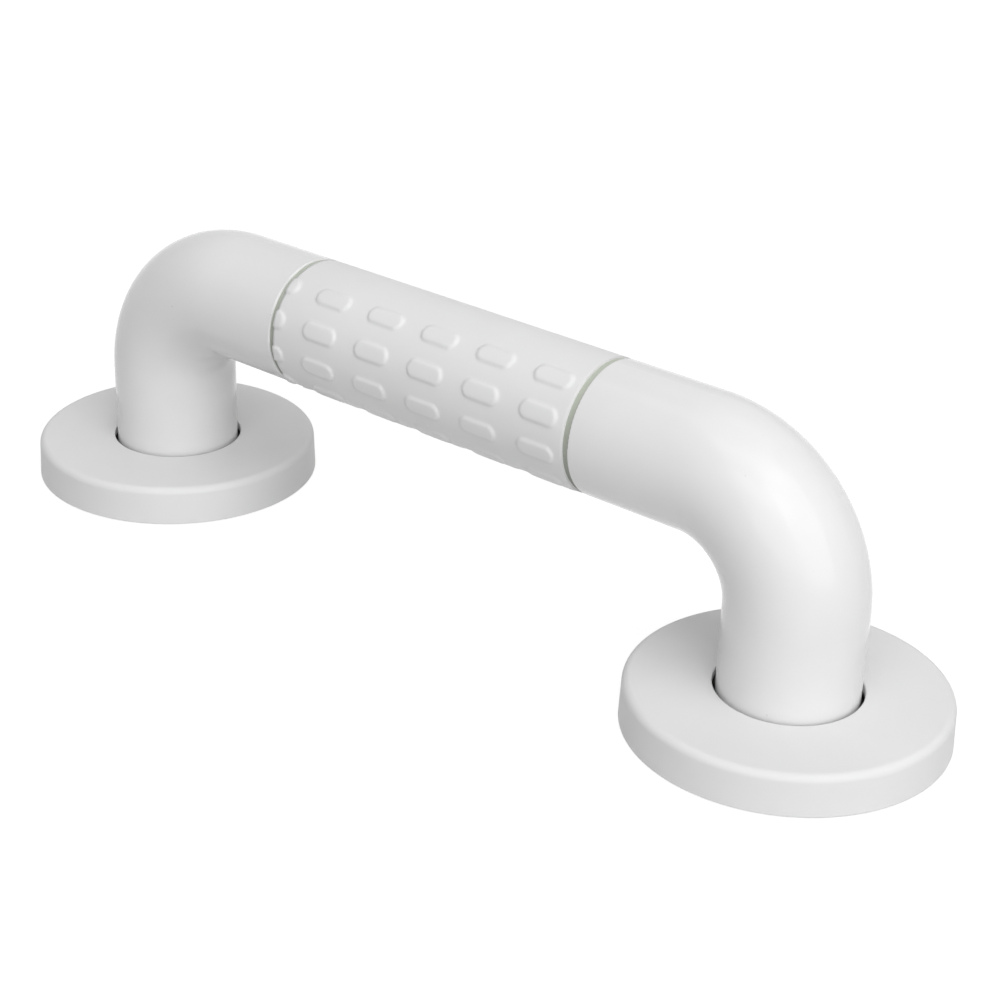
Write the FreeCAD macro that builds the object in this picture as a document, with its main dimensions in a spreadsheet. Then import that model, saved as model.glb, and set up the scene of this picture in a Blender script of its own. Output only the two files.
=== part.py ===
# Grab bar for a shower or bath: two flanged legs, moulded elbows and a grip sleeve with raised bumps.
# The wall is the plane Z = 0, the bar runs along X and stands out of the wall along +Z.
# The origin lies on the wall, midway between the two legs. All lengths are millimetres.
import FreeCAD, Part
import math
import os
from types import SimpleNamespace

import Sketcher
from FreeCAD import Placement, Rotation, Vector

# Driving sizes. Each becomes one named cell of the sheet.
SIZES = {
    # The whole bar
    "flange_spacing": 212,
    "axis_height": 60.4,
    "bend_radius": 28.4,
    # Steel frame
    "steel_diameter": 25,
    "steel_wall": 1.5,
    "tube_stub": 9,
    "joint_gap": 0.3,
    "spigot_bore": 12,
    "spigot_clearance": 0.1,
    "spigot_hold": 8,
    "spigot_reach": 22,
    # Flange plate
    "plate_diameter": 74,
    "plate_thickness": 3,
    "plate_rounding": 0.8,
    "screw_circle": 56,
    "screw_hole": 5.5,
    "screw_count": 3,
    # Moulded elbow
    "elbow_diameter": 34.7,
    "mould_clearance": 0.15,
    "elbow_rounding": 0.4,
    # Lock screw
    "lock_diameter": 5,
    "lock_length": 10,
    "lock_recess": 0.5,
    "lock_clearance": 0.1,
    "lock_inset": 9,
    "hex_width": 2.5,
    "hex_depth": 3,
    # Luminous ring
    "ring_width": 1.6,
    "ring_recess": 0.5,
    "ring_clearance": 0.2,
    # Grip sleeve
    "sleeve_diameter": 34.7,
    "sleeve_length": 96.4,
    "sleeve_clearance": 0.15,
    "bump_height": 0.55,
    "bump_length": 11.6,
    "bump_width": 4.75,
    "bump_draft": 45,
    "bump_rounding": 0.7,
    "bump_root": 0.5,
    "bump_overhang": 2.3,
    "bump_pitch": 18.1,
    "bump_count": 6,
    "first_row_angle": 37.8,
    "row_pitch_angle": 32,
    "row_count": 9,
    # Flange cover
    "cover_clearance": 0.8,
    "cover_height": 10.8,
    "cover_draft": 0.4,
    "cover_wall": 2.2,
    "cover_hole": 36.4,
    "cover_lift": 0.3,
    "cover_rounding": 1.9,
    "cover_hole_rounding": 0.3,
    "rib_gap": 0.3,
    "rib_count": 6,
    "rib_width": 1.6,
    "rib_length": 5,
}

FULL_TURN = 360.0
QUARTER_ARC = math.pi / 2
# How far a cutting outline runs past the surface that it cuts
CUT_MARGIN = 3.0
# Two places closer than this are the same place
SAME_PLACE = 1e-4


class Size:
    """A length, with its number and the sheet formula that gives it."""

    def __init__(self, value, formula):
        self.value = value
        self.formula = formula

    def combine(self, other, sign, result):
        other_formula = other.formula if isinstance(other, Size) else repr(other)
        return Size(result, f"({self.formula} {sign} {other_formula})")

    def __add__(self, other):
        return self.combine(other, "+", self.value + number(other))

    def __sub__(self, other):
        return self.combine(other, "-", self.value - number(other))

    def __mul__(self, other):
        return self.combine(other, "*", self.value * number(other))

    def __truediv__(self, other):
        return self.combine(other, "/", self.value / number(other))

    def __neg__(self):
        return Size(-self.value, f"(0 - {self.formula})")


def number(value):
    return value.value if isinstance(value, Size) else value


def slope(angle):
    """How far a side runs in for each unit that it rises, from its angle in degrees."""
    return Size(math.tan(math.radians(angle.value)), f"tan({angle.formula} * 1deg)")


doc = FreeCAD.newDocument("grab_bar")


def make_sheet():
    """Writes the driving sizes to the sheet and returns them as Size values."""
    sheet = doc.addObject("Spreadsheet::Sheet", "Sizes")
    for row, (name, value) in enumerate(SIZES.items(), start=1):
        sheet.set(f"A{row}", name)
        sheet.set(f"B{row}", str(value))
        sheet.setAlias(f"B{row}", name)
    doc.recompute()
    return SimpleNamespace(**{name: Size(value, f"Sizes.{name}") for name, value in SIZES.items()})


size = make_sheet()

# Places and radii that several pieces share, worked out from the driving sizes
leg_x = size.flange_spacing / 2
bend_bottom = size.axis_height - size.bend_radius
sleeve_end_x = size.sleeve_length / 2
elbow_end_x = sleeve_end_x + size.ring_width
stub_end_x = leg_x - size.bend_radius - size.tube_stub
core_end_x = stub_end_x - size.joint_gap
lock_x = elbow_end_x + size.lock_inset
steel_radius = size.steel_diameter / 2
steel_bore_radius = steel_radius - size.steel_wall
elbow_radius = size.elbow_diameter / 2
sleeve_radius = size.sleeve_diameter / 2
lock_hole_radius = (size.lock_diameter + size.lock_clearance) / 2
lock_end_z = size.axis_height - elbow_radius + size.lock_recess

bodies = []


def new_body(label):
    body = doc.addObject("PartDesign::Body", label)
    body.Label = label
    bodies.append(body)
    return body


def origin_feature(body, role):
    return next(item for item in body.Origin.OriginFeatures if item.Role == role)


def new_sketch(body, name, plane, lift=None):
    """A sketch on one of the body's origin planes, moved out along its normal by lift."""
    sketch = body.newObject("Sketcher::SketchObject", name)
    sketch.AttachmentSupport = (origin_feature(body, plane), [""])
    sketch.MapMode = "FlatFace"
    if lift is not None:
        sketch.AttachmentOffset = Placement(Vector(0, 0, lift.value), Rotation())
        sketch.setExpression("AttachmentOffset.Base.z", lift.formula)
    return sketch


# How a sketch names its own origin
ORIGIN = (-1, 1)
ALONG_X = Vector(1, 0, 0)
ALONG_Z = Vector(0, 0, 1)


def fix(sketch, kind, references, length):
    """Adds a dimension that follows the sheet."""
    index = sketch.addConstraint(Sketcher.Constraint(kind, *references, length.value))
    sketch.setExpression(f"Constraints[{index}]", length.formula)


def place_point(sketch, geometry, point, corner):
    """Holds a point at a corner (x, y), where 0 means on that axis."""
    sketch_x_axis, sketch_y_axis = -1, -2
    for kind, coordinate, axis in (("DistanceX", corner[0], sketch_y_axis),
                                   ("DistanceY", corner[1], sketch_x_axis)):
        if isinstance(coordinate, Size):
            fix(sketch, kind, (*ORIGIN, geometry, point), coordinate)
        else:
            sketch.addConstraint(Sketcher.Constraint("PointOnObject", geometry, point, axis))


def flat_vector(corner):
    return Vector(number(corner[0]), number(corner[1]), 0)


def draw_line(sketch, start, end):
    return sketch.addGeometry(Part.LineSegment(flat_vector(start), flat_vector(end)))


def draw_outline(sketch, corners):
    """A closed outline of straight lines through the corners."""
    ends = corners[1:] + corners[:1]
    lines = [draw_line(sketch, start, end) for start, end in zip(corners, ends)]
    for line, following in zip(lines, lines[1:] + lines[:1]):
        sketch.addConstraint(Sketcher.Constraint("Coincident", line, 2, following, 1))
    for line, corner in zip(lines, corners):
        place_point(sketch, line, 1, corner)


def draw_circle(sketch, radius, centre=(0, 0)):
    circle = sketch.addGeometry(Part.Circle(flat_vector(centre), ALONG_Z, radius.value))
    place_point(sketch, circle, 3, centre)
    fix(sketch, "Radius", (circle,), radius)


def draw_arc(sketch, centre, radius, first_angle, last_angle):
    circle = Part.Circle(flat_vector(centre), ALONG_Z, radius.value)
    return sketch.addGeometry(Part.ArcOfCircle(circle, first_angle, last_angle))


def draw_slot(sketch, middle_x, length, width):
    """An obround along the sketch's X axis, its middle at (middle_x, 0)."""
    radius = width / 2
    first_x = middle_x - length / 2 + radius
    last_x = middle_x + length / 2 - radius
    left = draw_arc(sketch, (first_x, 0), radius, QUARTER_ARC, 3 * QUARTER_ARC)
    right = draw_arc(sketch, (last_x, 0), radius, -QUARTER_ARC, QUARTER_ARC)
    upper = draw_line(sketch, (first_x, radius), (last_x, radius))
    lower = draw_line(sketch, (first_x, -radius), (last_x, -radius))
    for arc, arc_end, line, line_end in ((left, 1, upper, 1), (left, 2, lower, 1), (right, 2, upper, 2),
                                         (right, 1, lower, 2)):
        sketch.addConstraint(Sketcher.Constraint("Tangent", arc, arc_end, line, line_end))
    place_point(sketch, left, 3, (first_x, 0))
    place_point(sketch, right, 3, (last_x, 0))
    fix(sketch, "Radius", (left,), radius)


def pad(body, sketch, name, length, symmetric=False):
    """A sketch raised along its normal, or to both sides of its plane."""
    feature = body.newObject("PartDesign::Pad", name)
    feature.Profile = sketch
    feature.SideType = "Symmetric" if symmetric else "One side"
    feature.setExpression("Length", length.formula)
    return feature


def turn(body, sketch, name, axis, kind="Revolution"):
    """A full revolution of a sketch, or with kind Groove a cut of that shape."""
    feature = body.newObject(f"PartDesign::{kind}", name)
    feature.Profile = sketch
    feature.ReferenceAxis = (sketch, [axis])
    feature.Angle = FULL_TURN
    return feature


def cut(body, sketch, name, length, upwards=True):
    """A pocket above the sketch's plane, or below it."""
    feature = body.newObject("PartDesign::Pocket", name)
    feature.Profile = sketch
    feature.Reversed = upwards
    feature.setExpression("Length", length.formula)
    return feature


def pipe(body, profile, path, name, kind="AdditivePipe"):
    feature = body.newObject(f"PartDesign::{kind}", name)
    feature.Profile = profile
    feature.Spine = (path, [f"Edge{count + 1}" for count in range(len(path.Geometry))])
    return feature


def repeat_around(body, originals, name, count):
    """Copies of the originals, evenly spaced round the Z axis."""
    pattern = body.newObject("PartDesign::PolarPattern", name)
    pattern.Originals = originals
    pattern.Axis = (origin_feature(body, "Z_Axis"), [""])
    pattern.Angle = FULL_TURN
    pattern.setExpression("Occurrences", count.formula)
    body.Tip = pattern


def round_edges(body, name, base, radius, wanted):
    """Rounds every edge of base for which wanted(edge) is true."""
    doc.recompute()
    names = [f"Edge{count}" for count, edge in enumerate(base.Shape.Edges, start=1) if wanted(edge)]
    if not names:
        raise RuntimeError(f"{name} finds no edge to round")
    feature = body.newObject("PartDesign::Fillet", name)
    feature.Base = (base, names)
    feature.setExpression("Radius", radius.formula)
    return feature


def near(first, second):
    return math.isclose(first, number(second), abs_tol=SAME_PLACE)


def flat_circle(edge, radius, axis, place):
    """True for a circle of that radius, square to the axis and at that place along it."""
    if not isinstance(edge.Curve, Part.Circle):
        return False
    return near(edge.Curve.Radius, radius) and near(edge.Curve.Center.dot(axis), place)


def stand_at_leg(body, side):
    """Moves a piece made round the Z axis to its leg. The left one is the right one turned half round."""
    half_turn = 0 if side == "right" else 180
    body.Placement = Placement(Vector(), Rotation(ALONG_Z, half_turn))
    place = leg_x if side == "right" else -leg_x
    body.setExpression("Placement.Base.x", place.formula)


def draw_path(sketch, bottom_z, end_x):
    """The leg's line, the bend and the line along the bar, in the leg's own frame."""
    bend_start = (0, bend_bottom)
    bend_centre = (-size.bend_radius, bend_bottom)
    bend_end = (-size.bend_radius, size.axis_height)
    bar_end = (end_x - leg_x, size.axis_height)
    leg = draw_line(sketch, (0, bottom_z), bend_start)
    bend = draw_arc(sketch, bend_centre, size.bend_radius, 0, QUARTER_ARC)
    bar = draw_line(sketch, bend_end, bar_end)
    sketch.addConstraint(Sketcher.Constraint("Coincident", leg, 2, bend, 1))
    sketch.addConstraint(Sketcher.Constraint("Coincident", bend, 2, bar, 1))
    place_point(sketch, leg, 1, (0, bottom_z))
    place_point(sketch, leg, 2, bend_start)
    place_point(sketch, bend, 3, bend_centre)
    fix(sketch, "DistanceX", (*ORIGIN, bend, 2), bend_end[0])
    place_point(sketch, bar, 2, bar_end)


def swept_tube(body, bottom_z, end_x, radius, name, kind="AdditivePipe"):
    """A round bar, or with kind SubtractivePipe a round bore, along the leg, the bend and the bar."""
    profile = new_sketch(body, f"{name}_profile", "XY_Plane", lift=bottom_z)
    draw_circle(profile, radius)
    path = new_sketch(body, f"{name}_path", "XZ_Plane")
    draw_path(path, bottom_z, end_x)
    return pipe(body, profile, path, name, kind)


def lock_hole(body, name, bottom_z):
    """A round hole from bottom_z up to the bar's axis, where the lock screw goes."""
    sketch = new_sketch(body, f"{name}_outline", "XY_Plane", lift=bottom_z)
    draw_circle(sketch, lock_hole_radius, centre=(lock_x - leg_x, 0))
    cut(body, sketch, name, size.axis_height - bottom_z)


def make_flange_plate(side):
    """Round steel plate that the wall screws hold, its corners rounded on the room side."""
    body = new_body(f"flange_plate_{side}")
    outline = new_sketch(body, "plate_outline", "XY_Plane")
    draw_circle(outline, size.plate_diameter / 2)
    disc = pad(body, outline, "plate_disc", size.plate_thickness)
    round_edges(body, "plate_rim", disc, size.plate_rounding,
                lambda edge: flat_circle(edge, size.plate_diameter / 2, ALONG_Z, size.plate_thickness))
    hole = new_sketch(body, "screw_hole_outline", "XY_Plane")
    draw_circle(hole, size.screw_hole / 2, centre=(size.screw_circle / 2, 0))
    screw_hole = cut(body, hole, "screw_hole", size.plate_thickness)
    repeat_around(body, [screw_hole], "screw_holes", size.screw_count)
    stand_at_leg(body, side)


def make_bracket_tube(side):
    """Bent steel tube that stands on the flange plate and carries the elbow."""
    body = new_body(f"bracket_tube_{side}")
    swept_tube(body, size.plate_thickness, stub_end_x, steel_radius, "tube_outside")
    swept_tube(body, size.plate_thickness, stub_end_x, steel_bore_radius, "tube_bore", "SubtractivePipe")
    stand_at_leg(body, side)


def make_spigot(side):
    """Thick steel spigot that joins the bracket tube to the core tube."""
    body = new_body(f"spigot_{side}")
    outside = steel_bore_radius - size.spigot_clearance
    bore = size.spigot_bore / 2
    start = stub_end_x + size.spigot_hold - leg_x
    end = core_end_x - size.spigot_reach - leg_x
    section = new_sketch(body, "spigot_section", "XZ_Plane")
    axis_height = size.axis_height
    draw_outline(section, [(start, axis_height + bore), (start, axis_height + outside),
                           (end, axis_height + outside), (end, axis_height + bore)])
    axis = new_sketch(body, "spigot_axis", "XZ_Plane")
    line = draw_line(axis, (start, axis_height), (end, axis_height))
    place_point(axis, line, 1, (start, axis_height))
    place_point(axis, line, 2, (end, axis_height))
    tube = body.newObject("PartDesign::Revolution", "spigot_tube")
    tube.Profile = section
    tube.ReferenceAxis = (axis, ["Edge1"])
    tube.Angle = FULL_TURN
    lock_hole(body, "lock_thread", lock_end_z)
    stand_at_leg(body, side)


def make_lock_screw(side):
    """Set screw with a hexagon socket, which pins the elbow, the core tube and the spigot together."""
    body = new_body(f"lock_screw_{side}")
    outline = new_sketch(body, "screw_outline", "XY_Plane", lift=lock_end_z)
    draw_circle(outline, size.lock_diameter / 2, centre=(lock_x - leg_x, 0))
    pad(body, outline, "screw_shank", size.lock_length)
    socket = new_sketch(body, "socket_outline", "XY_Plane", lift=lock_end_z)
    draw_hexagon(socket, lock_x - leg_x, size.hex_width)
    cut(body, socket, "socket", size.hex_depth)
    stand_at_leg(body, side)


def draw_hexagon(sketch, middle_x, width):
    """A regular hexagon of the given width across its flats."""
    half_side = width / math.sqrt(12)
    draw_outline(sketch, [(middle_x + half_side * 2, 0), (middle_x + half_side, width / 2),
                          (middle_x - half_side, width / 2), (middle_x - half_side * 2, 0),
                          (middle_x - half_side, -width / 2), (middle_x + half_side, -width / 2)])


def make_elbow(side):
    """Moulded elbow round the bracket tube: a straight leg, the bend and a straight end beside the ring."""
    body = new_body(f"elbow_{side}")
    bottom = size.plate_thickness
    outside = swept_tube(body, bottom, elbow_end_x, elbow_radius, "elbow_outside")
    round_edges(body, "elbow_rim", outside, size.elbow_rounding,
                lambda edge: flat_circle(edge, elbow_radius, ALONG_X, elbow_end_x - leg_x))
    bore_radius = steel_radius + size.mould_clearance
    swept_tube(body, bottom, elbow_end_x, bore_radius, "elbow_bore", "SubtractivePipe")
    lock_hole(body, "lock_hole", lock_end_z - CUT_MARGIN)
    stand_at_leg(body, side)


def make_core_tube():
    """Straight steel tube through the sleeve and the rings, into both elbows."""
    body = new_body("core_tube")
    section = new_sketch(body, "tube_section", "YZ_Plane")
    draw_circle(section, steel_radius)
    draw_circle(section, steel_bore_radius)
    pad(body, section, "tube", core_end_x * 2, symmetric=True)
    hole = new_sketch(body, "lock_hole_outline", "XY_Plane")
    for place in (lock_x, -lock_x):
        draw_circle(hole, lock_hole_radius, centre=(place, 0))
    cut(body, hole, "lock_holes", size.steel_diameter, upwards=False)
    lift_to_axis(body)


def lift_to_axis(body, angle=None):
    """Raises a piece made round the X axis to the bar's height."""
    body.Placement = Placement(Vector(), Rotation(ALONG_X, 0 if angle is None else angle.value))
    body.setExpression("Placement.Base.z", size.axis_height.formula)
    if angle is not None:
        body.setExpression("Placement.Rotation.Angle", angle.formula)


def make_glow_ring(side):
    """Thin luminous ring between the sleeve and the elbow, a little below their surface."""
    body = new_body(f"glow_ring_{side}")
    section = new_sketch(body, "ring_section", "YZ_Plane", lift=sleeve_end_x)
    draw_circle(section, sleeve_radius - size.ring_recess)
    draw_circle(section, steel_radius + size.ring_clearance)
    pad(body, section, "ring", size.ring_width)
    body.Placement = Placement(Vector(), Rotation(ALONG_Z, 0 if side == "right" else 180))
    body.setExpression("Placement.Base.z", size.axis_height.formula)


def make_grip_sleeve():
    """Moulded sleeve with rows of bumps. A strip along its room side stays plain."""
    body = new_body("grip_sleeve")
    body.AllowCompound = True
    bump_top = sleeve_radius + size.bump_height

    # One bump: an obround block with sloping sides, which starts below the sleeve's surface. Its top is
    # turned round the bar's axis, and the top's edges are rounded
    first_bump_x = -sleeve_end_x - size.bump_overhang
    root_spread = size.bump_root * slope(size.bump_draft) * 2
    outline = new_sketch(body, "bump_outline", "XY_Plane", lift=sleeve_radius - size.bump_root)
    draw_slot(outline, first_bump_x, size.bump_length + root_spread, size.bump_width + root_spread)
    block = pad(body, outline, "bump_block", size.bump_root + size.bump_height * 2)
    block.setExpression("TaperAngle", (-size.bump_draft).formula)
    crown = new_sketch(body, "crown_section", "XZ_Plane")
    low_x = first_bump_x - size.bump_length
    high_x = first_bump_x + size.bump_length
    beyond = bump_top + CUT_MARGIN
    draw_outline(crown, [(low_x, bump_top), (high_x, bump_top), (high_x, beyond), (low_x, beyond)])
    crowned = turn(body, crown, "bump_crown", "H_Axis", "Groove")
    round_edges(body, "bump_edge", crowned, size.bump_rounding,
                lambda edge: all(near(math.hypot(end.Y, end.Z), bump_top) for end in edge.Vertexes))

    # The rows of bumps
    along = body.newObject("PartDesign::LinearPattern", "bumps_along")
    along.Direction = (origin_feature(body, "X_Axis"), [""])
    along.Mode = "Spacing"
    along.setExpression("Offset", size.bump_pitch.formula)
    along.setExpression("Occurrences", size.bump_count.formula)
    around = body.newObject("PartDesign::PolarPattern", "rows_around")
    around.Axis = (origin_feature(body, "X_Axis"), [""])
    around.Mode = "Spacing"
    around.setExpression("Offset", size.row_pitch_angle.formula)
    around.setExpression("Occurrences", size.row_count.formula)
    bumps = body.newObject("PartDesign::MultiTransform", "bumps")
    bumps.TransformMode = "Whole shape"
    bumps.Transformations = [along, around]
    body.Tip = bumps
    doc.recompute()

    # The sleeve that carries them, with its overhanging bumps trimmed flush with its left end
    section = new_sketch(body, "sleeve_section", "YZ_Plane")
    draw_circle(section, sleeve_radius)
    draw_circle(section, steel_radius + size.sleeve_clearance)
    pad(body, section, "sleeve", size.sleeve_length, symmetric=True)
    trim = new_sketch(body, "end_trim_section", "XZ_Plane")
    trim_end = -sleeve_end_x - size.bump_length
    draw_outline(trim, [(trim_end, 0), (-sleeve_end_x, 0), (-sleeve_end_x, beyond), (trim_end, beyond)])
    turn(body, trim, "end_trim", "H_Axis", "Groove")

    # The first row is drawn at the room side, so turning the body puts it at its own angle
    lift_to_axis(body, angle=size.first_row_angle)


def make_flange_cover(side):
    """Hollow cover over the flange plate, loose round the leg, with ribs that meet the plate."""
    body = new_body(f"flange_cover_{side}")
    inner = size.plate_diameter / 2 + size.cover_clearance
    outer = inner + size.cover_wall
    top = size.cover_height
    bottom = size.cover_lift
    hole = size.cover_hole / 2
    section = new_sketch(body, "cover_section", "XZ_Plane")
    draw_outline(section, [(inner, bottom), (outer, bottom), (outer - size.cover_draft, top), (hole, top),
                           (hole, top - size.cover_wall), (inner - size.cover_draft, top - size.cover_wall)])
    shell = turn(body, section, "cover_shell", "V_Axis")
    rounded = round_edges(body, "cover_rim", shell, size.cover_rounding,
                          lambda edge: flat_circle(edge, outer - size.cover_draft, ALONG_Z, top))
    round_edges(body, "cover_lip", rounded, size.cover_hole_rounding,
                lambda edge: flat_circle(edge, hole, ALONG_Z, top))

    # Stop ribs end just above the plate, and thin centring ribs go on down beside its edge
    half_width = size.rib_width / 2
    rib_root = inner + size.cover_wall / 2
    rib_bottom = size.plate_thickness + size.rib_gap
    ribs = []
    for name, low_y, low_z, high_z in (
            ("stop_rib", inner - size.rib_length, rib_bottom, top - size.cover_wall / 2),
            ("centring_rib", size.plate_diameter / 2 + size.rib_gap, bottom, rib_bottom)):
        outline = new_sketch(body, f"{name}_outline", "XY_Plane", lift=low_z)
        draw_outline(outline, [(-half_width, low_y), (half_width, low_y), (half_width, rib_root),
                               (-half_width, rib_root)])
        ribs.append(pad(body, outline, name, high_z - low_z))
    repeat_around(body, ribs, "ribs", size.rib_count)
    stand_at_leg(body, side)


for side in ("left", "right"):
    make_flange_plate(side)
    make_bracket_tube(side)
    make_spigot(side)
    make_elbow(side)
    make_lock_screw(side)
    make_glow_ring(side)
    make_flange_cover(side)
make_core_tube()
make_grip_sleeve()

doc.recompute()
for item in doc.Objects:
    if "Invalid" in item.State or "Error" in item.State:
        raise RuntimeError(f"{item.Label} failed: {item.State}")
    if item.TypeId in ("PartDesign::Pocket", "PartDesign::Groove", "PartDesign::SubtractivePipe"):
        if item.Shape.Volume >= item.BaseFeature.Shape.Volume:
            raise RuntimeError(f"{item.Label} cuts nothing")
for body in bodies:
    if body.Shape.isNull() or not body.Shape.isValid() or len(body.Shape.Solids) != 1:
        raise RuntimeError(f"{body.Label} is not one valid solid")

os.makedirs("parts", exist_ok=True)
for body in bodies:
    body.Shape.exportStep(f"parts/{body.Label}.step")
    box = body.Shape.BoundBox
    print(f"{body.Label}: {body.Shape.Volume:.0f} mm3, {box}")
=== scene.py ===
import math

import bpy
from mathutils import Matrix, Vector


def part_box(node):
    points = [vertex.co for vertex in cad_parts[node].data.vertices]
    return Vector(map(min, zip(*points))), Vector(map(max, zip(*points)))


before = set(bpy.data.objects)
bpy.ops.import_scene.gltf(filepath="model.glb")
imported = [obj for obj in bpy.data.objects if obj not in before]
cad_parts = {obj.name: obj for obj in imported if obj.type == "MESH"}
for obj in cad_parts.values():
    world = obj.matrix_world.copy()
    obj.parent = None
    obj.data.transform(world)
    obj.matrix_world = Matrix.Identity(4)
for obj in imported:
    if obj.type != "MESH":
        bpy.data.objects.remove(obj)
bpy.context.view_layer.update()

scene = bpy.context.scene
scene.view_settings.view_transform = "Standard"


# Camera: the photograph's viewpoint, with a slight roll. Lengths are metres, and the lens is in millimetres

CAMERA_PLACE = Vector((0.33201, -0.39085, 0.27765))
CAMERA_AIM = Vector((0.01432, 0.0, 0.03015))
CAMERA_ROLL = math.radians(1.78)
LENS = 79.2
SENSOR_WIDTH = 36.0
NEAREST_SHOWN = 0.01
FARTHEST_SHOWN = 20.0


def make_camera():
    data = bpy.data.cameras.new("photo_camera")
    data.sensor_width = SENSOR_WIDTH
    data.lens = LENS
    data.clip_start = NEAREST_SHOWN
    data.clip_end = FARTHEST_SHOWN
    camera = bpy.data.objects.new("photo_camera", data)
    scene.collection.objects.link(camera)
    facing = (CAMERA_AIM - CAMERA_PLACE).to_track_quat("-Z", "Y").to_matrix().to_4x4()
    roll = Matrix.Rotation(CAMERA_ROLL, 4, "Z")
    camera.matrix_world = Matrix.Translation(CAMERA_PLACE) @ facing @ roll
    scene.camera = camera


make_camera()


# Light: large soft panels round the bar

LAMP_AIM = Vector((0.0, 0.0, 0.04))
LAMP_DISTANCE = 1.4


def soft_panel(name, azimuth, elevation, width, height, watts):
    """A broad lamp aimed at the bar. Azimuth 0 stands in front, at -Y, and 90 at +X."""
    data = bpy.data.lights.new(name, "AREA")
    data.shape = "RECTANGLE"
    data.size = width
    data.size_y = height
    data.energy = watts
    lamp = bpy.data.objects.new(name, data)
    scene.collection.objects.link(lamp)
    turn = math.radians(azimuth)
    rise = math.radians(elevation)
    away = Vector((math.sin(turn) * math.cos(rise), -math.cos(turn) * math.cos(rise), math.sin(rise)))
    lamp.location = LAMP_AIM + away * LAMP_DISTANCE
    lamp.rotation_euler = (-away).to_track_quat("-Z", "Y").to_euler()


soft_panel("tall_right_panel", azimuth=75.0, elevation=32.0, width=1.15, height=1.75, watts=9.6)
soft_panel("front_panel", azimuth=39.0, elevation=55.0, width=1.2, height=1.2, watts=4.3)
soft_panel("low_front_panel", azimuth=30.0, elevation=25.0, width=1.2, height=1.2, watts=4.8)
soft_panel("overhead_panel", azimuth=39.0, elevation=88.0, width=1.4, height=1.4, watts=4.3)
soft_panel("left_panel", azimuth=-72.0, elevation=30.0, width=1.0, height=1.0, watts=0.3)
soft_panel("rear_panel", azimuth=195.0, elevation=45.0, width=1.2, height=1.2, watts=1.8)


# Materials

class Nodes:
    """Short calls for building one material's node tree."""

    def __init__(self, name):
        self.material = bpy.data.materials.new(name)
        self.material.use_nodes = True
        self.tree = self.material.node_tree
        self.shader = self.tree.nodes["Principled BSDF"]
        coordinates = self.tree.nodes.new("ShaderNodeTexCoord")
        self.place = coordinates.outputs["Object"]

    def set(self, **values):
        """Sets values on the shader's own sockets, an underscore standing for a space."""
        for name, value in values.items():
            self.shader.inputs[name.replace("_", " ")].default_value = value

    def link(self, source, node, socket):
        self.tree.links.new(source, node.inputs[socket])

    def finished(self, colour, roughness, normal):
        """The material, with the shader's colour, roughness and surface direction linked."""
        self.link(colour, self.shader, "Base Color")
        self.link(roughness, self.shader, "Roughness")
        self.link(normal, self.shader, "Normal")
        return self.material

    def stretched(self, scale):
        """The place on the piece, scaled along each axis."""
        node = self.tree.nodes.new("ShaderNodeMapping")
        node.inputs["Scale"].default_value = scale
        self.link(self.place, node, "Vector")
        return node.outputs["Vector"]

    def height(self):
        """The place's distance from the wall, in metres."""
        node = self.tree.nodes.new("ShaderNodeSeparateXYZ")
        self.link(self.place, node, "Vector")
        return node.outputs["Z"]

    def noise(self, scale, detail, roughness=0.5, vector=None):
        """Soft noise from zero to one, with about scale swells to a metre."""
        node = self.tree.nodes.new("ShaderNodeTexNoise")
        node.inputs["Scale"].default_value = scale
        node.inputs["Detail"].default_value = detail
        node.inputs["Roughness"].default_value = roughness
        self.link(vector or self.place, node, "Vector")
        return node.outputs["Fac"]

    def specks(self, scale, radius):
        """One where a small round speck lies, and nothing elsewhere: radius is in metres."""
        node = self.tree.nodes.new("ShaderNodeTexVoronoi")
        node.inputs["Scale"].default_value = scale
        self.link(self.place, node, "Vector")
        edge = radius * scale
        core = edge * 0.4
        return self.spread(node.outputs["Distance"], 1.0, 0.0, first=core, last=edge)

    def spread(self, factor, low, high, first=0.3, last=0.7):
        """The factor's range first to last, spread over low to high."""
        node = self.tree.nodes.new("ShaderNodeMapRange")
        node.inputs["From Min"].default_value = first
        node.inputs["From Max"].default_value = last
        node.inputs["To Min"].default_value = low
        node.inputs["To Max"].default_value = high
        self.link(factor, node, "Value")
        return node.outputs["Result"]

    def mixed(self, first, second, share):
        """Two factors mixed, with this share of the second."""
        node = self.tree.nodes.new("ShaderNodeMix")
        node.inputs["Factor"].default_value = share
        self.link(first, node, "A")
        self.link(second, node, "B")
        return node.outputs["Result"]

    def colours(self, factor, first, last, low=0.3, high=0.7):
        """The first colour where the factor is low, running over to the last where it is high."""
        node = self.tree.nodes.new("ShaderNodeValToRGB")
        for element, position, colour in zip(node.color_ramp.elements, (low, high), (first, last)):
            element.position = position
            element.color = (*colour, 1.0)
        self.link(factor, node, "Fac")
        return node.outputs["Color"]

    def spotted(self, colour, spots, spot_colour):
        """The colour, with the spot colour where spots is one."""
        node = self.tree.nodes.new("ShaderNodeMixRGB")
        node.inputs["Color2"].default_value = (*spot_colour, 1.0)
        self.link(spots, node, "Fac")
        self.link(colour, node, "Color1")
        return node.outputs["Color"]

    def softened(self, radius):
        """The surface's direction with its edges softened: radius is in metres."""
        node = self.tree.nodes.new("ShaderNodeBevel")
        node.samples = 8
        node.inputs["Radius"].default_value = radius
        return node.outputs["Normal"]

    def bump(self, height, depth, strength, under=None):
        """Fine relief of the surface, on top of under: depth is in metres."""
        node = self.tree.nodes.new("ShaderNodeBump")
        node.inputs["Distance"].default_value = depth
        node.inputs["Strength"].default_value = strength
        self.link(height, node, "Height")
        if under is not None:
            self.link(under, node, "Normal")
        return node.outputs["Normal"]


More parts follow.
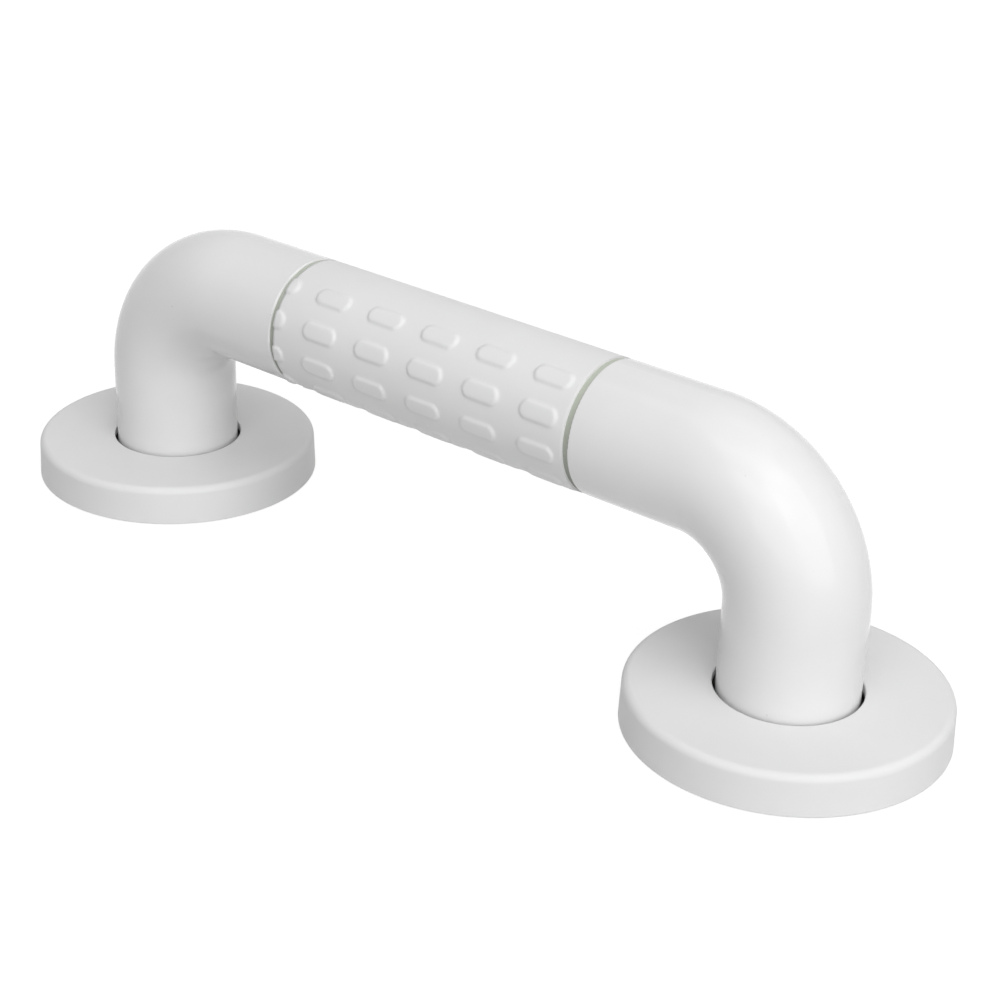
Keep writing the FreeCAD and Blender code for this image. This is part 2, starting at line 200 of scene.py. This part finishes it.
PLASTIC_IOR = 1.46
DULL_WHITE = (0.775, 0.775, 0.775)
PALE_WHITE = (0.812, 0.812, 0.812)
SPECK_GREY = (0.58, 0.575, 0.56)
# Painted shade on the ring: its green-grey runs from this darker grey towards the wall to the paler grey
# towards the room
PAINTED_SHADE_GREEN_GREY = (0.22, 0.235, 0.21)
PALE_GREEN_GREY = (0.50, 0.53, 0.46)
STEEL_WARMTH = 0.985


def moulded_plastic(name, gloss, rough, grain_scale, grain_depth, softness, speck_radius):
    """White moulded plastic: faint cloudiness and a few grey specks in the colour, uneven gloss, soft edges
    and a fine moulded grain."""
    nodes = Nodes(name)
    nodes.set(IOR=PLASTIC_IOR, Specular_IOR_Level=gloss)
    clouds = nodes.colours(nodes.noise(scale=28.0, detail=3.0), DULL_WHITE, PALE_WHITE)
    colour = nodes.spotted(clouds, nodes.specks(scale=120.0, radius=speck_radius), SPECK_GREY)
    patches = nodes.noise(scale=90.0, detail=4.0, roughness=0.6)
    swell = nodes.noise(scale=90.0, detail=1.0)
    grain = nodes.noise(scale=grain_scale, detail=3.0)
    soft_edges = nodes.softened(softness)
    swollen = nodes.bump(swell, depth=0.00002, strength=0.25, under=soft_edges)
    surface = nodes.bump(grain, depth=grain_depth, strength=0.35, under=swollen)
    return nodes.finished(colour, nodes.spread(patches, *rough), surface)


def luminous_plastic(name):
    """Green-grey luminous plastic with fine grains in it, and painted shade that darkens it towards the
    wall.
    """
    nodes = Nodes(name)
    nodes.set(IOR=PLASTIC_IOR)
    lowest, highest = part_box("glow_ring_left")
    grains = nodes.noise(scale=2600.0, detail=3.0, roughness=0.7)
    # Painted shade: the colour darkens towards the wall, standing in for the shade in the ring's groove; the
    # grains are the plastic's own
    painted_shade_ramp = nodes.spread(nodes.height(), 0.0, 1.0, first=lowest.z, last=highest.z)
    painted_shade_and_grains = nodes.mixed(painted_shade_ramp, grains, share=0.3)
    colour = nodes.colours(painted_shade_and_grains, PAINTED_SHADE_GREEN_GREY, PALE_GREEN_GREY, low=0.15, high=0.85)
    surface = nodes.bump(grains, depth=0.00005, strength=0.4)
    return nodes.finished(colour, nodes.spread(grains, 0.5, 0.65), surface)


def steel_grey(level):
    """A grey with a little less blue in it."""
    return (level, level, level * STEEL_WARMTH)


def steel(name, stretch, dark, pale, rough):
    """Stainless steel with drawing or rolling lines, which run along the axis with the smallest stretch."""
    nodes = Nodes(name)
    nodes.set(Metallic=1.0)
    lines = nodes.noise(scale=1.0, detail=4.0, roughness=0.65, vector=nodes.stretched(stretch))
    colour = nodes.colours(lines, steel_grey(dark), steel_grey(pale))
    surface = nodes.bump(lines, depth=0.00003, strength=0.3)
    return nodes.finished(colour, nodes.spread(lines, *rough), surface)


white_elbow = moulded_plastic("elbow_white", gloss=0.38, rough=(0.12, 0.17), grain_scale=900.0,
                              grain_depth=0.000003, softness=0.0002, speck_radius=0.00025)
white_sleeve = moulded_plastic("sleeve_white", gloss=0.3, rough=(0.38, 0.46), grain_scale=1500.0,
                               grain_depth=0.00001, softness=0.0012, speck_radius=0.00012)
white_cover = moulded_plastic("cover_white", gloss=0.2, rough=(0.42, 0.52), grain_scale=2200.0,
                              grain_depth=0.00001, softness=0.0003, speck_radius=0.00012)
luminous = luminous_plastic("ring_luminous")
drawn_steel = steel("tube_steel", stretch=(40.0, 2600.0, 2600.0), dark=0.50, pale=0.64, rough=(0.26, 0.38))
rolled_steel = steel("plate_steel", stretch=(60.0, 3000.0, 3000.0), dark=0.46, pale=0.60, rough=(0.32, 0.46))
screw_steel = steel("screw_steel", stretch=(2400.0, 2400.0, 300.0), dark=0.30, pale=0.45, rough=(0.28, 0.40))

FINISHES = {
    "grip_sleeve": white_sleeve,
    "glow_ring": luminous,
    "elbow": white_elbow,
    "flange_cover": white_cover,
    "core_tube": drawn_steel,
    "bracket_tube": drawn_steel,
    "spigot": drawn_steel,
    "flange_plate": rolled_steel,
    "lock_screw": screw_steel,
}
for node_name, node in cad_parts.items():
    kind = node_name.removesuffix("_left").removesuffix("_right")
    node.data.materials.clear()
    node.data.materials.append(FINISHES[kind])


# Floor and surround: white to the camera and in gloss and glass, and dimmer to the rays that light the bar.
# The floor near the bar takes its shadow

# Lengths in metres. The floor's own white is dimmed within the first distance, and plain from the second
FLOOR_HALF_WIDTH = 30.0
FLOOR_DROP = 0.0001
DIMMED_WITHIN = 0.25
PLAIN_FROM = 0.9
# Levels, where 1 is white: what the floor and the surround send to the bar, and what is seen of the floor
FLOOR_LIGHT = 0.6
SURROUND_LIGHT = 0.21
FLOOR_SHADOW_SHARE = 0.22
DIMMED_WHITE = 0.88
WHITE = 1.0


def grey(level):
    """A grey of this level, as the sockets take it."""
    return (level, level, level, 1.0)


def either(tree, first, second):
    """One where either of two ray kinds is one."""
    node = tree.nodes.new("ShaderNodeMath")
    node.operation = "MAXIMUM"
    tree.links.new(first, node.inputs[0])
    tree.links.new(second, node.inputs[1])
    return node.outputs["Value"]


def lighting_or_shown(tree, lighting, shown):
    """The first shader to the rays that light the bar, and the second to those that show the background:
    camera, glossy and transmission rays."""
    rays = tree.nodes.new("ShaderNodeLightPath").outputs
    share = either(tree, rays["Is Camera Ray"], rays["Is Glossy Ray"])
    share = either(tree, share, rays["Is Transmission Ray"])
    choice = tree.nodes.new("ShaderNodeMixShader")
    tree.links.new(share, choice.inputs["Fac"])
    tree.links.new(lighting, choice.inputs[1])
    tree.links.new(shown, choice.inputs[2])
    return choice.outputs["Shader"]


def diffuse(tree, level):
    node = tree.nodes.new("ShaderNodeBsdfDiffuse")
    node.inputs["Color"].default_value = grey(level)
    return node.outputs["BSDF"]


def background(tree, strength):
    node = tree.nodes.new("ShaderNodeBackground")
    node.inputs["Color"].default_value = grey(WHITE)
    node.inputs["Strength"].default_value = strength
    return node.outputs["Background"]


def floor_glow(tree):
    """The floor's own white, a little dimmer near the bar, where the light on the floor adds to it."""
    place = tree.nodes.new("ShaderNodeTexCoord")
    distance = tree.nodes.new("ShaderNodeVectorMath")
    distance.operation = "LENGTH"
    level = tree.nodes.new("ShaderNodeMapRange")
    level.inputs["From Min"].default_value = DIMMED_WITHIN
    level.inputs["From Max"].default_value = PLAIN_FROM
    level.inputs["To Min"].default_value = DIMMED_WHITE
    level.inputs["To Max"].default_value = WHITE
    glow = tree.nodes.new("ShaderNodeEmission")
    tree.links.new(place.outputs["Object"], distance.inputs[0])
    tree.links.new(distance.outputs["Value"], level.inputs["Value"])
    tree.links.new(level.outputs["Result"], glow.inputs["Strength"])
    return glow.outputs["Emission"]


def floor_white():
    """The floor's material: seen, it is its own white plus the light and shadow that fall on it."""
    material = bpy.data.materials.new("floor_white")
    material.use_nodes = True
    tree = material.node_tree
    tree.nodes.clear()
    output = tree.nodes.new("ShaderNodeOutputMaterial")
    shown = tree.nodes.new("ShaderNodeAddShader")
    tree.links.new(diffuse(tree, FLOOR_SHADOW_SHARE), shown.inputs[0])
    tree.links.new(floor_glow(tree), shown.inputs[1])
    surface = lighting_or_shown(tree, diffuse(tree, FLOOR_LIGHT), shown.outputs["Shader"])
    tree.links.new(surface, output.inputs["Surface"])
    return material


def make_floor():
    half = FLOOR_HALF_WIDTH
    mesh = bpy.data.meshes.new("floor")
    corners = [(-half, -half, 0.0), (half, -half, 0.0), (half, half, 0.0), (-half, half, 0.0)]
    mesh.from_pydata(corners, [], [(0, 1, 2, 3)])
    mesh.materials.append(floor_white())
    floor = bpy.data.objects.new("floor", mesh)
    floor.location.z = -FLOOR_DROP
    scene.collection.objects.link(floor)


def make_surround():
    world = bpy.data.worlds.new("white_surround")
    world.use_nodes = True
    tree = world.node_tree
    tree.nodes.clear()
    output = tree.nodes.new("ShaderNodeOutputWorld")
    surface = lighting_or_shown(tree, background(tree, SURROUND_LIGHT), background(tree, WHITE))
    tree.links.new(surface, output.inputs["Surface"])
    scene.world = world


make_floor()
make_surround()
